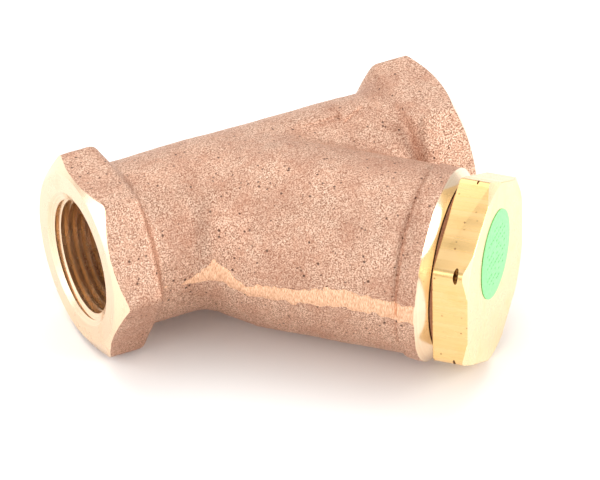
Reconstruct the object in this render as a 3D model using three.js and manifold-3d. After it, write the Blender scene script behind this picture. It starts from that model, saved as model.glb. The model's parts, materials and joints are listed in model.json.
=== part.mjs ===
// Bronze Y-pattern strainer with 3/4 inch threaded ends.
// Millimetres, +Z up. The run lies along X, from the inlet (-X) to the outlet (+X).
// The branch leaves the run at BRANCH_ANGLE, towards the outlet and -Y, and ends in a screwed cap.
// Every turned shape is drawn about its own +Y axis and then laid along the run or the branch.

import * as THREE from "three";
import { mergeVertices } from "three/addons/utils/BufferGeometryUtils.js";
import Module from "manifold-3d";

const wasm = await Module();
wasm.setup();

// ---- Driving dimensions: run ----
const RUN_LENGTH = 84; // end face to end face
const INLET_REACH = 30; // inlet face to the point where the two axes cross
const RUN_WALL = 3.8;
const SOCKET_WALL = 5.6; // end hexagon's flats to the outside of the pipe thread
const END_HEX_THICKNESS = 10.2;
const END_FACE_RIM = 0.7; // the machined face circle stops this far inside the flats
const HEX_CHAMFER_SLOPE = Math.tan(THREE.MathUtils.degToRad(30));
const HEX_BACK_CUT = 0.8; // the hexagon's cast back edge is cut back this far at its corners

// ---- Driving dimensions: pipe threads, 3/4-14 NPT ----
const PIPE_PITCH = 25.4 / 14;
const PIPE_MAJOR_RADIUS = 13.4; // at the end face; the cast waterway behind is as wide
const PIPE_TAPER = 1 / 32; // radius lost per length, inwards
const PIPE_THREAD_LENGTH = 12.6;
const PIPE_COUNTERSINK = 1.0; // how far the mouth's bevel reaches past the thread's outside

// ---- Driving dimensions: branch and cap thread, 1 1/4-12 UNF ----
const BRANCH_ANGLE = THREE.MathUtils.degToRad(45);
const CAP_TO_RUN = 3.62; // between the cap's hexagon and the end hexagon's corner
const BRANCH_WALL = 4; // outside the cap's thread
const CHAMBER_WALL = 2.5; // where the branch starts in the run
const COLLAR_RISE = 0.5; // the thicker band at the branch's end
const COLLAR_LENGTH = 3;
const FACE_BEVEL = 2.3; // machined bevel between the collar and the face
const CAP_PITCH = 25.4 / 12;
const CAP_THREAD_LENGTH = 9;
const CAP_NOSE = 1.2; // plain lead-in ahead of the cap's thread
const THREAD_GAP = 0.2; // radial, and along the axis at each flank

// ---- Driving dimensions: cap, gasket and label ----
const CAP_WALL = 2.23; // between the cap's pocket and the root of its thread
const CAP_SHOULDER_WIDTH = 3.175; // hexagon's flats to the outside of the thread
const CAP_HEX_THICKNESS = 7.5;
const CAP_EDGE_CUT = 0.5; // the bevel that breaks the hexagon's corners
const CAP_POCKET_DEPTH = 1.5; // the screen's pocket, past the hexagon's inner face
const GASKET_THICKNESS = 0.7;
const GASKET_WIDTH = 1.925;
const SEAT_GAP = 0.25; // between the gasket and each face that it seals
const LABEL_RADIUS = 9.5;
const LABEL_THICKNESS = 0.15;
const LABEL_OFFSET = 4.5; // above the cap's axis
const LABEL_GAP = 0.05;

// ---- Driving dimensions: bridge wall and screen ----
const BRIDGE_THICKNESS = 3;
const SEAT_DEPTH = 1; // recess in the bridge that holds the screen's inner end
const SCREEN_RADIUS = 11.2; // outside of the sleeve
const SCREEN_GAUGE = 0.5;
const SCREEN_LEDGE = 0.9; // how far the seat reaches in past the sleeve's inside
const BAND_GAP = 0.3; // between the sleeve and what is fixed round it
const BAND_GAUGE = 0.5;
const BAND_WIDTH = 4;
const SCREEN_CLEARANCE = 0.3; // round and beyond each end of the screen
const WINDOW_COLUMNS = 12;
const WINDOW_ROWS = 8;
const WINDOW_SHARE = 0.62; // opening over spacing
const SEAM_WIDTH = 4;

// ---- Driving dimensions: flow arrow ----
const ARROW_LENGTH = 15;
const ARROW_WIDTH = 6;
const ARROW_SHAFT_WIDTH = 2;
const ARROW_HEAD_LENGTH = 6;
const ARROW_RISE = 0.7;
const ARROW_CENTRE = 29; // from the axis crossing, along the run

// ---- Fineness ----
const SIDES = 48;
const CAP_THREAD_SIDES = 30;
const PIPE_THREAD_SIDES = 20;
const SCREEN_SIDES = 24; // a whole number of sides for each column of windows

// ---- Run sizes that follow ----
const RUN_BORE_RADIUS = PIPE_MAJOR_RADIUS;
const RUN_RADIUS = RUN_BORE_RADIUS + RUN_WALL;
const OUTLET_REACH = RUN_LENGTH - INLET_REACH;
const END_HEX_FLATS = 2 * (PIPE_MAJOR_RADIUS + SOCKET_WALL);
const END_HEX_CORNER = END_HEX_FLATS / Math.sqrt(3);
const END_FACE_RADIUS = END_HEX_FLATS / 2 - END_FACE_RIM;

// ---- Screen and cap thread sizes that follow ----
const FLANK = Math.tan(THREE.MathUtils.degToRad(30)); // 60 degree thread form
const PIPE_THREAD_DEPTH = (PIPE_PITCH * 0.75) / (2 * FLANK);
const CAP_THREAD_DEPTH = (CAP_PITCH * 0.625) / (2 * FLANK);
const BAND_RADIUS = SCREEN_RADIUS + BAND_GAP + BAND_GAUGE;
const POCKET_RADIUS = BAND_RADIUS + SCREEN_CLEARANCE;
const SEAT_HOLE_RADIUS = SCREEN_RADIUS - SCREEN_GAUGE - SCREEN_LEDGE;
const CAP_CORE_RADIUS = POCKET_RADIUS + CAP_WALL;
const CHAMBER_RADIUS = CAP_CORE_RADIUS + THREAD_GAP;
const CAP_MAJOR_RADIUS = CHAMBER_RADIUS + CAP_THREAD_DEPTH; // outside of the female thread
const ROOT_RADIUS = CHAMBER_RADIUS + CHAMBER_WALL;
const BRANCH_RADIUS = CAP_MAJOR_RADIUS + BRANCH_WALL;
const COLLAR_RADIUS = BRANCH_RADIUS + COLLAR_RISE;

// ---- Places along the branch, from the axis crossing ----
const CAP_FLATS = 2 * (CAP_MAJOR_RADIUS + CAP_SHOULDER_WIDTH);
const CAP_CLEARANCE_HEIGHT = END_HEX_CORNER + CAP_TO_RUN + (CAP_FLATS / 2) * Math.cos(BRANCH_ANGLE);
const CAP_SHOULDER = CAP_CLEARANCE_HEIGHT / Math.sin(BRANCH_ANGLE);
const CAP_FACE = CAP_SHOULDER + CAP_HEX_THICKNESS;
const BRANCH_REACH = CAP_SHOULDER - GASKET_THICKNESS - 2 * SEAT_GAP; // the machined face
const CAP_THREAD_START = BRANCH_REACH - CAP_THREAD_LENGTH;
const SCREEN_START = BRIDGE_THICKNESS / 2 - SEAT_DEPTH + SCREEN_CLEARANCE;
const SCREEN_END = CAP_SHOULDER + CAP_POCKET_DEPTH - SCREEN_CLEARANCE;

// ---- Solids ----

/** Drops the corners that a turned shape repeats and the slivers left at its poles. */
function closedMesh(geometry) {
  const bare = geometry.clone();
  bare.deleteAttribute("normal");
  bare.deleteAttribute("uv");
  const merged = mergeVertices(bare, 1e-4);
  const corners = merged.index.array;
  const kept = [];
  for (let i = 0; i < corners.length; i += 3) {
    const [a, b, c] = corners.slice(i, i + 3);
    if (a !== b && b !== c && c !== a) {
      kept.push(a, b, c);
    }
  }
  merged.setIndex(kept);
  return merged;
}

function solidOf(geometry) {
  const merged = closedMesh(geometry);
  const vertProperties = new Float32Array(merged.attributes.position.array);
  const triVerts = new Uint32Array(merged.index.array);
  return new wasm.Manifold(new wasm.Mesh({ numProp: 3, vertProperties, triVerts }));
}

function geometryOf(solid) {
  const mesh = solid.getMesh();
  const geometry = new THREE.BufferGeometry();
  geometry.setAttribute("position", new THREE.BufferAttribute(mesh.vertProperties, 3));
  geometry.setIndex(new THREE.BufferAttribute(mesh.triVerts, 1));
  geometry.computeVertexNormals();
  return geometry;
}

/** Turns a profile of [radius, place along +Y] corners about the Y axis. */
function turned(profile, sides = SIDES) {
  const points = profile.map(([radius, along]) => new THREE.Vector2(radius, along));
  return new THREE.LatheGeometry(points, sides);
}

/** A plain round bar from one place to another; its two ends may differ in radius. */
function bar(from, to, radius, endRadius = radius, sides = SIDES) {
  return turned([[0, from], [radius, from], [endRadius, to], [0, to]], sides);
}

/** A tube, with its profile closed on itself. */
function tube(from, to, inner, outer, sides = SIDES) {
  return turned([[inner, from], [outer, from], [outer, to], [inner, to], [inner, from]], sides);
}

/** A hexagonal bar across the given flats, with a corner on +Z or a flat on +Z. */
function hexagon(from, to, flats, cornerUp) {
  const prism = new THREE.CylinderGeometry(flats / Math.sqrt(3), flats / Math.sqrt(3), to - from, 6);
  prism.rotateY(cornerUp ? 0 : Math.PI / 6);
  prism.translate(0, (from + to) / 2, 0);
  return prism;
}

/**
 * One thread ridge wound right-handed about +Y. It starts at `from`, narrows to a point at
 * both ends, and is sunk a little into the core that it is joined to.
 */
function threadRidge({ from, length, pitch, core, crest, crestWidth, taper = 0, sides }) {
  const sink = 0.2;
  const steps = Math.round((length / pitch) * sides);
  const fade = sides / 3;
  const rootHalf = crestWidth / 2 + (crest - core + sink) * FLANK;
  const position = [];
  const index = [];
  for (let step = 0; step <= steps; step += 1) {
    const angle = (2 * Math.PI * step) / sides;
    const middle = from + (pitch * step) / sides;
    const full = Math.min(1, (Math.min(step, steps - step) + 1) / fade);
    const lean = -taper * (middle - from);
    const section = [
      [core - sink, -rootHalf * full],
      [core - sink + (crest - core + sink) * full, (-crestWidth / 2) * full],
      [core - sink + (crest - core + sink) * full, (crestWidth / 2) * full],
      [core - sink, rootHalf * full],
    ];
    for (const [radius, shift] of section) {
      position.push((radius + lean) * Math.sin(angle), middle + shift, (radius + lean) * Math.cos(angle));
    }
  }
  for (let step = 0; step < steps; step += 1) {
    for (let side = 0; side < 4; side += 1) {
      const a = 4 * step + side;
      const b = 4 * step + ((side + 1) % 4);
      index.push(a, a + 4, b, b, a + 4, b + 4);
    }
  }
  const last = 4 * steps;
  index.push(0, 1, 2, 0, 2, 3);
  index.push(last, last + 2, last + 1, last, last + 3, last + 2);
  const geometry = new THREE.BufferGeometry();
  geometry.setAttribute("position", new THREE.Float32BufferAttribute(position, 3));
  geometry.setIndex(index);
  return geometry;
}

/** Lays a shape drawn about +Y along the run, or along the branch that turns off it. */
function laid(solid, angle) {
  return solid.rotate([0, 0, -90 - THREE.MathUtils.radToDeg(angle)]);
}

// ---- Body casting ----

/** One hexagonal end: its bevelled front face is at `face`, its back towards the axis crossing. */
function endHexagon() {
  const back = END_HEX_THICKNESS;
  const bevel = (END_HEX_CORNER - END_FACE_RADIUS) * HEX_CHAMFER_SLOPE;
  const turnedBlank = solidOf(turned([
    [0, 0],
    [END_FACE_RADIUS, 0],
    [END_HEX_CORNER, bevel],
    [END_HEX_CORNER, back - HEX_BACK_CUT],
    [END_HEX_FLATS / 2, back],
    [0, back],
  ]));
  return solidOf(hexagon(0, back, END_HEX_FLATS, false)).intersect(turnedBlank);
}

/** Puts a shape drawn inwards from an end face at the inlet, and its mirror at the outlet. */
function atBothEnds(endShape) {
  const inlet = laid(endShape, 0).translate([-INLET_REACH, 0, 0]);
  const outlet = laid(endShape, 0).rotate([0, 0, 180]).translate([OUTLET_REACH, 0, 0]);
  return inlet.add(outlet);
}

/** The pipe thread's cutter: bevelled mouth, tapered core and ridge, drawn inwards from the face. */
function pipeThreadCutter() {
  const core = PIPE_MAJOR_RADIUS - PIPE_THREAD_DEPTH;
  const overrun = 1;
  const mouth = PIPE_MAJOR_RADIUS + PIPE_COUNTERSINK;
  const mouthDepth = (mouth - core) * HEX_CHAMFER_SLOPE;
  const mouthCutter = solidOf(turned([
    [0, -overrun],
    [mouth, -overrun],
    [mouth, 0],
    [core, mouthDepth],
    [0, mouthDepth],
  ]));
  const coreCutter = solidOf(bar(
    -overrun,
    PIPE_THREAD_LENGTH + PIPE_PITCH,
    core + PIPE_TAPER * overrun,
    core - PIPE_TAPER * (PIPE_THREAD_LENGTH + PIPE_PITCH),
    PIPE_THREAD_SIDES,
  ));
  const ridge = solidOf(threadRidge({
    from: 0,
    length: PIPE_THREAD_LENGTH,
    pitch: PIPE_PITCH,
    core,
    crest: PIPE_MAJOR_RADIUS,
    crestWidth: PIPE_PITCH / 8,
    taper: PIPE_TAPER,
    sides: PIPE_THREAD_SIDES,
  }));
  return mouthCutter.add(coreCutter).add(ridge);
}

/** The branch's female thread and the chamber behind it, drawn along the branch from the crossing. */
function chamberCutter() {
  const overrun = 1;
  const mouth = CAP_MAJOR_RADIUS + THREAD_GAP;
  const start = BRIDGE_THICKNESS / 2;
  const end = BRANCH_REACH + overrun;
  const chamber = solidOf(bar(start, end, CHAMBER_RADIUS, CHAMBER_RADIUS, CAP_THREAD_SIDES));
  const mouthCutter = solidOf(turned([
    [0, BRANCH_REACH - (mouth - CHAMBER_RADIUS)],
    [CHAMBER_RADIUS, BRANCH_REACH - (mouth - CHAMBER_RADIUS)],
    [mouth, BRANCH_REACH],
    [mouth, BRANCH_REACH + overrun],
    [0, BRANCH_REACH + overrun],
  ]));
  const ridge = solidOf(threadRidge({
    from: CAP_THREAD_START - CAP_PITCH,
    length: CAP_THREAD_LENGTH + 1.5 * CAP_PITCH,
    pitch: CAP_PITCH,
    core: CHAMBER_RADIUS,
    crest: CAP_MAJOR_RADIUS,
    crestWidth: CAP_PITCH / 8,
    sides: CAP_THREAD_SIDES,
  }));
  return chamber.add(mouthCutter).add(ridge);
}

/** The waterway through the run, parted by the bridge wall that stands square to the branch. */
function waterwayCutter() {
  const pocket = PIPE_THREAD_LENGTH + PIPE_PITCH;
  const step = RUN_BORE_RADIUS - PIPE_MAJOR_RADIUS + PIPE_PITCH;
  const from = -INLET_REACH + pocket;
  const to = OUTLET_REACH - pocket;
  const bore = laid(solidOf(turned([
    [0, from - step],
    [RUN_BORE_RADIUS - step, from - step],
    [RUN_BORE_RADIUS, from],
    [RUN_BORE_RADIUS, to],
    [RUN_BORE_RADIUS - step, to + step],
    [0, to + step],
  ])), 0);
  const reach = 2 * RUN_LENGTH;
  const wall = solidOf(new THREE.BoxGeometry(reach, BRIDGE_THICKNESS, reach));
  const seat = solidOf(bar(-BRIDGE_THICKNESS, BRIDGE_THICKNESS, SEAT_HOLE_RADIUS));
  const recess = solidOf(bar(BRIDGE_THICKNESS / 2 - SEAT_DEPTH, BRIDGE_THICKNESS, POCKET_RADIUS));
  return bore.subtract(laid(wall, BRANCH_ANGLE)).add(laid(seat.add(recess), BRANCH_ANGLE));
}

/** A raised arrow on top of the run that points downstream. */
function flowArrow() {
  const tail = -ARROW_LENGTH / 2;
  const neck = ARROW_LENGTH / 2 - ARROW_HEAD_LENGTH;
  const outline = new THREE.Shape([
    new THREE.Vector2(tail, -ARROW_SHAFT_WIDTH / 2),
    new THREE.Vector2(neck, -ARROW_SHAFT_WIDTH / 2),
    new THREE.Vector2(neck, -ARROW_WIDTH / 2),
    new THREE.Vector2(ARROW_LENGTH / 2, 0),
    new THREE.Vector2(neck, ARROW_WIDTH / 2),
    new THREE.Vector2(neck, ARROW_SHAFT_WIDTH / 2),
    new THREE.Vector2(tail, ARROW_SHAFT_WIDTH / 2),
  ]);
  const height = RUN_RADIUS + ARROW_RISE + 1;
  const upright = new THREE.ExtrudeGeometry(outline, { depth: height, bevelEnabled: false });
  upright.translate(ARROW_CENTRE, 0, 0);
  const skin = laid(solidOf(bar(-RUN_LENGTH, RUN_LENGTH, RUN_RADIUS + ARROW_RISE)), 0);
  return solidOf(upright).intersect(skin);
}

function bodyCasting() {
  const inHexagon = END_HEX_THICKNESS / 2;
  const run = laid(solidOf(bar(-INLET_REACH + inHexagon, OUTLET_REACH - inHexagon, RUN_RADIUS)), 0);
  const swell = 4 * (BRANCH_RADIUS - ROOT_RADIUS);
  const branch = laid(solidOf(turned([
    [0, -ROOT_RADIUS * 0.6],
    [ROOT_RADIUS * 0.8, -ROOT_RADIUS * 0.6],
    [ROOT_RADIUS, 0],
    [BRANCH_RADIUS, swell],
    [BRANCH_RADIUS, BRANCH_REACH - FACE_BEVEL - COLLAR_LENGTH - COLLAR_RISE],
    [COLLAR_RADIUS, BRANCH_REACH - FACE_BEVEL - COLLAR_LENGTH],
    [COLLAR_RADIUS, BRANCH_REACH - FACE_BEVEL],
    [COLLAR_RADIUS - FACE_BEVEL, BRANCH_REACH],
    [0, BRANCH_REACH],
  ])), BRANCH_ANGLE);
  const outside = run.add(branch).add(atBothEnds(endHexagon())).add(flowArrow());
  return outside
    .subtract(waterwayCutter())
    .subtract(laid(chamberCutter(), BRANCH_ANGLE))
    .subtract(atBothEnds(pipeThreadCutter()));
}

// ---- Cap, gasket and label ----

function retainerCap() {
  const corner = CAP_FLATS / Math.sqrt(3);
  const crest = CAP_MAJOR_RADIUS - THREAD_GAP;
  const nose = CAP_THREAD_START - CAP_NOSE;
  const blank = solidOf(turned([
    [0, CAP_SHOULDER],
    [corner - CAP_EDGE_CUT, CAP_SHOULDER],
    [corner, CAP_SHOULDER + CAP_EDGE_CUT],
    [corner, CAP_FACE - CAP_EDGE_CUT],
    [corner - CAP_EDGE_CUT, CAP_FACE],
    [0, CAP_FACE],
  ]));
  const head = solidOf(hexagon(CAP_SHOULDER, CAP_FACE, CAP_FLATS, true)).intersect(blank);
  const root = CAP_SHOULDER + CAP_EDGE_CUT;
  const spigot = solidOf(bar(nose, root, CAP_CORE_RADIUS, CAP_CORE_RADIUS, CAP_THREAD_SIDES));
  const widthAtCrest = CAP_PITCH / 8 + 2 * THREAD_GAP * FLANK - 2 * THREAD_GAP;
  const ridge = solidOf(threadRidge({
    from: CAP_THREAD_START,
    length: CAP_THREAD_LENGTH - CAP_PITCH / 2,
    pitch: CAP_PITCH,
    core: CAP_CORE_RADIUS,
    crest,
    crestWidth: widthAtCrest,
    sides: CAP_THREAD_SIDES,
  }));
  const pocket = solidOf(bar(nose - 1, CAP_SHOULDER + CAP_POCKET_DEPTH, POCKET_RADIUS));
  return head.add(spigot).add(ridge).subtract(pocket);
}

/** The washer's hole clears the cap's thread. */
function capGasket() {
  const from = BRANCH_REACH + SEAT_GAP;
  const hole = CAP_MAJOR_RADIUS + THREAD_GAP;
  return tube(from, from + GASKET_THICKNESS, hole, hole + GASKET_WIDTH);
}

function capLabel() {
  const from = CAP_FACE + LABEL_GAP;
  const disc = bar(from, from + LABEL_THICKNESS, LABEL_RADIUS);
  disc.translate(0, 0, LABEL_OFFSET);
  return disc;
}

// ---- Screen ----

/** A round sleeve pierced by rows of square windows between its two plain ends. */
function screenSleeve() {
  const length = SCREEN_END - SCREEN_START;
  const pierced = length - 2 * BAND_WIDTH;
  const rowPitch = pierced / WINDOW_ROWS;
  const columnPitch = (2 * Math.PI) / WINDOW_COLUMNS;
  const high = rowPitch * WINDOW_SHARE;
  const wide = 2 * SCREEN_RADIUS * Math.sin((columnPitch * WINDOW_SHARE) / 2);
  const inner = SCREEN_RADIUS - SCREEN_GAUGE;
  let sleeve = solidOf(tube(SCREEN_START, SCREEN_END, inner, SCREEN_RADIUS, SCREEN_SIDES));
  for (let column = 1; column < WINDOW_COLUMNS; column += 1) {
    for (let row = 0; row < WINDOW_ROWS; row += 1) {
      const window = new THREE.BoxGeometry(wide, high, SCREEN_RADIUS);
      window.translate(0, SCREEN_START + BAND_WIDTH + (row + 0.5) * rowPitch, SCREEN_RADIUS);
      window.rotateY(column * columnPitch);
      sleeve = sleeve.subtract(solidOf(window));
    }
  }
  return sleeve;
}

function screenBand(from) {
  return tube(from, from + BAND_WIDTH, BAND_RADIUS - BAND_GAUGE, BAND_RADIUS, SCREEN_SIDES);
}

/** The strip that closes the sleeve's joint, between the two bands, over the column left unpierced. */
function seamStrip() {
  const half = SEAM_WIDTH / 2 / BAND_RADIUS;
  const inner = BAND_RADIUS - BAND_GAUGE;
  const section = new THREE.Shape();
  section.absarc(0, 0, BAND_RADIUS, Math.PI / 2 - half, Math.PI / 2 + half, false);
  section.absarc(0, 0, inner, Math.PI / 2 + half, Math.PI / 2 - half, true);
  const from = SCREEN_START + BAND_WIDTH + SCREEN_CLEARANCE;
  const to = SCREEN_END - BAND_WIDTH - SCREEN_CLEARANCE;
  const depth = to - from;
  const strip = new THREE.ExtrudeGeometry(section, { depth, bevelEnabled: false, curveSegments: 4 });
  strip.rotateX(Math.PI / 2);
  strip.translate(0, to, 0);
  return strip;
}

// ---- Assembly ----

const FINISHES = {
  castBronze: { color: 0xc08a68, roughness: 0.62, metalness: 0.85 },
  brass: { color: 0xe6c878, roughness: 0.28, metalness: 1 },
  stainless: { color: 0xb9bcbd, roughness: 0.35, metalness: 1 },
  fibre: { color: 0x5b4637, roughness: 0.85, metalness: 0 },
  paper: { color: 0x7fe58a, roughness: 0.6, metalness: 0 },
};

function part(name, shape, finish) {
  const geometry = shape instanceof THREE.BufferGeometry ? closedMesh(shape) : geometryOf(shape);
  const mesh = new THREE.Mesh(geometry, new THREE.MeshStandardMaterial(FINISHES[finish]));
  mesh.name = name;
  return mesh;
}

function branchGroup() {
  const group = new THREE.Group();
  group.rotation.z = -Math.PI / 2 - BRANCH_ANGLE;
  group.add(
    part("retainer_cap", retainerCap(), "brass"),
    part("cap_label", capLabel(), "paper"),
    part("cap_gasket", capGasket(), "fibre"),
    part("screen_sleeve", screenSleeve(), "stainless"),
    part("screen_inner_band", screenBand(SCREEN_START), "stainless"),
    part("screen_outer_band", screenBand(SCREEN_END - BAND_WIDTH), "stainless"),
    part("screen_seam_strip", seamStrip(), "stainless"),
  );
  return group;
}

/** Stands the strainer with the middle of its footprint on the origin. */
function strainer() {
  const model = new THREE.Group();
  model.add(part("body_casting", bodyCasting(), "castBronze"), branchGroup());
  model.updateMatrixWorld(true);
  const box = new THREE.Box3().setFromObject(model, true);
  const middle = box.getCenter(new THREE.Vector3());
  model.position.set(-middle.x, -middle.y, -box.min.z);
  model.updateMatrixWorld(true);
  return model;
}

export default strainer();
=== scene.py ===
# %% [markdown]
# # A bronze Y strainer over its CAD frame
# A Y strainer is a short run of pipe with a side branch. Water enters one threaded end, passes
# through a fine screen that stands in the branch, and leaves by the other end. A hexagonal cap
# closes the branch, and unscrews so that the screen can be cleaned.
#
# The engineering model is loaded first and is never moved. It gives every size and place.
# Each cell below then makes one piece of the real thing, with its finish, and says why it is
# made that way.

# %% Load the frame
import json
import math

import bmesh
import bpy
import numpy as np
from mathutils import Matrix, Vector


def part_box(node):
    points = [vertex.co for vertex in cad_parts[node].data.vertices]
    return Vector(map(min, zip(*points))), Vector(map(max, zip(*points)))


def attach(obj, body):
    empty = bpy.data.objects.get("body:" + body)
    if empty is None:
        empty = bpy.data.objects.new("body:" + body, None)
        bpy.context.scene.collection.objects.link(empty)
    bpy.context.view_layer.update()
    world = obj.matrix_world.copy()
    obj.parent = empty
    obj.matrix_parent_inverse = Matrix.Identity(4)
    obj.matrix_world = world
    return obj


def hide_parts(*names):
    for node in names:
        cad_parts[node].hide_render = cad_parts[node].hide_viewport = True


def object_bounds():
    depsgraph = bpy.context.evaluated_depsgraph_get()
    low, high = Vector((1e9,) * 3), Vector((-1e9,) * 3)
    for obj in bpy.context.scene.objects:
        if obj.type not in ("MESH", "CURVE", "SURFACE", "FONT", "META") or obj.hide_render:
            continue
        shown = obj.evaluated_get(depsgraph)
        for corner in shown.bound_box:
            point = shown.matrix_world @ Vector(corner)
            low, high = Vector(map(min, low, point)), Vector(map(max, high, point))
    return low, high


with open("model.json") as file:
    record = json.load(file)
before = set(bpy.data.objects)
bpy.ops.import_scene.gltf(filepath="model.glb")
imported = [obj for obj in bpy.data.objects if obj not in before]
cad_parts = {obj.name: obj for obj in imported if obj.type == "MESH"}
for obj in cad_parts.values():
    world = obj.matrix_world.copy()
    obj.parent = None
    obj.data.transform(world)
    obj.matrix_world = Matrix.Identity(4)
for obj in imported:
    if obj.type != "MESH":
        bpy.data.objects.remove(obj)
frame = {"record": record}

import openvdb
from mathutils import Matrix, Vector, noise

cad_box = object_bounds()
print("CAD box, mm:", [round(1000 * v, 2) for corner in cad_box for v in corner])

# %% [markdown]
# ## Where the axes lie
# The run and the branch are both turned shapes, so two axes place nearly everything. The record
# names them: the end faces are mounts on the run, and the cap's hinge lies on the branch. All
# modelling below is in millimetres from the point where the two axes cross, because screw
# threads and wall thicknesses are easy to read that way. The last step of each piece turns its
# millimetres into metres in the frame.

# %% The two axes
record = frame["record"]
mounts = {mount["name"]: mount for mount in record["mounts"]}
joints = {joint["name"]: joint for joint in record["behaviour"]["joints"]}
UP = Vector((0, 0, 1))
RUN = Vector(mounts["outlet_face"]["axis"])
BRANCH = Vector(joints["cap_turn"]["axis"]).normalized()
pivot = Vector(joints["cap_turn"]["pos_m"])
run_height = mounts["inlet_face"]["pos_m"][1]
CROSSING = pivot + BRANCH * ((run_height - pivot.y) / BRANCH.y)
INLET = 1000 * (mounts["inlet_face"]["pos_m"][0] - CROSSING.x)
OUTLET = 1000 * (mounts["outlet_face"]["pos_m"][0] - CROSSING.x)
print(
    "crossing, m:", [round(v, 5) for v in CROSSING], "run, mm:", round(INLET, 2), round(OUTLET, 2)
)


# %% Sizes of the round parts
def along_branch(node):
    """First and last place along the branch, and the radius, of a round CAD part, in mm."""
    low, high = (1000 * (corner - CROSSING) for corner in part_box(node))
    radius = (high.z - low.z) / 2
    return low.x / BRANCH.x + radius, high.x / BRANCH.x - radius, radius


GASKET_START, GASKET_END, GASKET_RADIUS = along_branch("cap_gasket")
LABEL_START, LABEL_END, LABEL_RADIUS = along_branch("cap_label")
SLEEVE_START, SLEEVE_END, SLEEVE_RADIUS = along_branch("screen_sleeve")
INNER_BAND_START, INNER_BAND_END, BAND_RADIUS = along_branch("screen_inner_band")
OUTER_BAND_START, OUTER_BAND_END = along_branch("screen_outer_band")[:2]
label_low, label_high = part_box("cap_label")
LABEL_RISE = 1000 * ((label_low.z + label_high.z) / 2 - CROSSING.z)
cap_low, cap_high = (1000 * (corner - CROSSING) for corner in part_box("retainer_cap"))
CAP_CORNER = (cap_high.z - cap_low.z) / 2
CAP_FLATS = CAP_CORNER * math.sqrt(3)
CAP_FACE = cap_high.x / BRANCH.x - CAP_FLATS / 2
CAP_HEX_THICKNESS = 7.5
CAP_SHOULDER = CAP_FACE - CAP_HEX_THICKNESS
SEAT_GAP = CAP_SHOULDER - GASKET_END
BRANCH_FACE = GASKET_START - SEAT_GAP
print(
    "gasket",
    round(GASKET_START, 3),
    round(GASKET_END, 3),
    "cap",
    round(CAP_SHOULDER, 3),
    round(CAP_FACE, 3),
)
print("branch face", round(BRANCH_FACE, 3), "sleeve", round(SLEEVE_START, 2), round(SLEEVE_END, 2))

# %% [markdown]
# ## Helpers for materials
# Colours are written as the usual sRGB hex codes, but Blender's shaders work with linear light,
# so one function converts them. Another adds a node, applies its settings and connects it, which
# keeps the material cells short.


# %% Colour and node helpers
def linear(code):
    """The linear RGBA of an sRGB hex colour."""
    channels = [int(code[i : i + 2], 16) / 255 for i in (0, 2, 4)]
    return [c / 12.92 if c <= 0.04045 else ((c + 0.055) / 1.055) ** 2.4 for c in channels] + [1.0]


def add(tree, kind, inputs=None, **settings):
    """Adds a node, then links or sets each of the named or numbered inputs."""
    node = tree.nodes.new(kind)
    for name, value in settings.items():
        setattr(node, name, value)
    for name, value in (inputs or {}).items():
        if isinstance(value, bpy.types.NodeSocket):
            tree.links.new(value, node.inputs[name])
        else:
            node.inputs[name].default_value = value
    return node


def new_material(name, **constants):
    """A material with a Principled shader, whose plain values are set on its own sockets."""
    material = bpy.data.materials.new(name)
    material.use_nodes = True
    tree = material.node_tree
    tree.nodes.clear()
    shader = add(tree, "ShaderNodeBsdfPrincipled", constants)
    add(tree, "ShaderNodeOutputMaterial", {"Surface": shader.outputs["BSDF"]})
    return material, tree, shader


def millimetres(tree):
    """Object coordinates in mm from the crossing of the axes."""
    coordinates = add(tree, "ShaderNodeTexCoord").outputs["Object"]
    shifted = add(tree, "ShaderNodeVectorMath", {0: coordinates, 1: CROSSING}, operation="SUBTRACT")
    return add(
        tree, "ShaderNodeVectorMath", {0: shifted.outputs[0], "Scale": 1000.0}, operation="SCALE"
    ).outputs[0]


def grain(tree, place, size, detail=2.0, roughness=0.5, stretch=(1, 1, 1)):
    """Noise whose lumps are about `size` mm across, from 0 to 1."""
    squeezed = add(tree, "ShaderNodeVectorMath", {0: place, 1: stretch}, operation="MULTIPLY")
    settings = {
        "Vector": squeezed.outputs[0], "Scale": 1 / size, "Detail": detail, "Roughness": roughness
    }
    return add(tree, "ShaderNodeTexNoise", settings).outputs["Fac"]


def remap(tree, value, low, high, to_low=0.0, to_high=1.0):
    """Stretches the range low..high to to_low..to_high, clamped and smoothed."""
    settings = {
        "Value": value, "From Min": low, "From Max": high, "To Min": to_low, "To Max": to_high
    }
    return add(
        tree, "ShaderNodeMapRange", settings, interpolation_type="SMOOTHSTEP"
    ).outputs["Result"]


def blend(tree, factor, first, second):
    """Mixes two colours, each a hex code or a socket."""
    first = linear(first) if isinstance(first, str) else first
    second = linear(second) if isinstance(second, str) else second
    settings = {0: factor, 6: first, 7: second}
    return add(tree, "ShaderNodeMix", settings, data_type="RGBA").outputs[2]


def math_node(tree, operation, first, second=0.0):
    """One arithmetic step on two values."""
    return add(tree, "ShaderNodeMath", {0: first, 1: second}, operation=operation).outputs[0]


def bump(tree, height, depth):
    """Bump whose height 0..1 stands for `depth` mm."""
    settings = {"Height": height, "Distance": depth / 1000, "Strength": 1.0}
    return add(tree, "ShaderNodeBump", settings).outputs["Normal"]


# %% [markdown]
# ## Sand-cast bronze
# The body is poured in a sand mould, and the metal copies the sand: grains of about 0.3 mm that
# glitter on their tops, dark pits where a grain stuck, and slow changes of tone where the skin
# cooled at different rates. A picture of bronze could be wrapped round the part, but it would
# stretch on the curved branch. Noise in object space has the same grain size everywhere. The
# ground strip along the parting line comes from an attribute that the mesh carries, because only
# the mesh knows where the two halves of the mould met.


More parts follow.
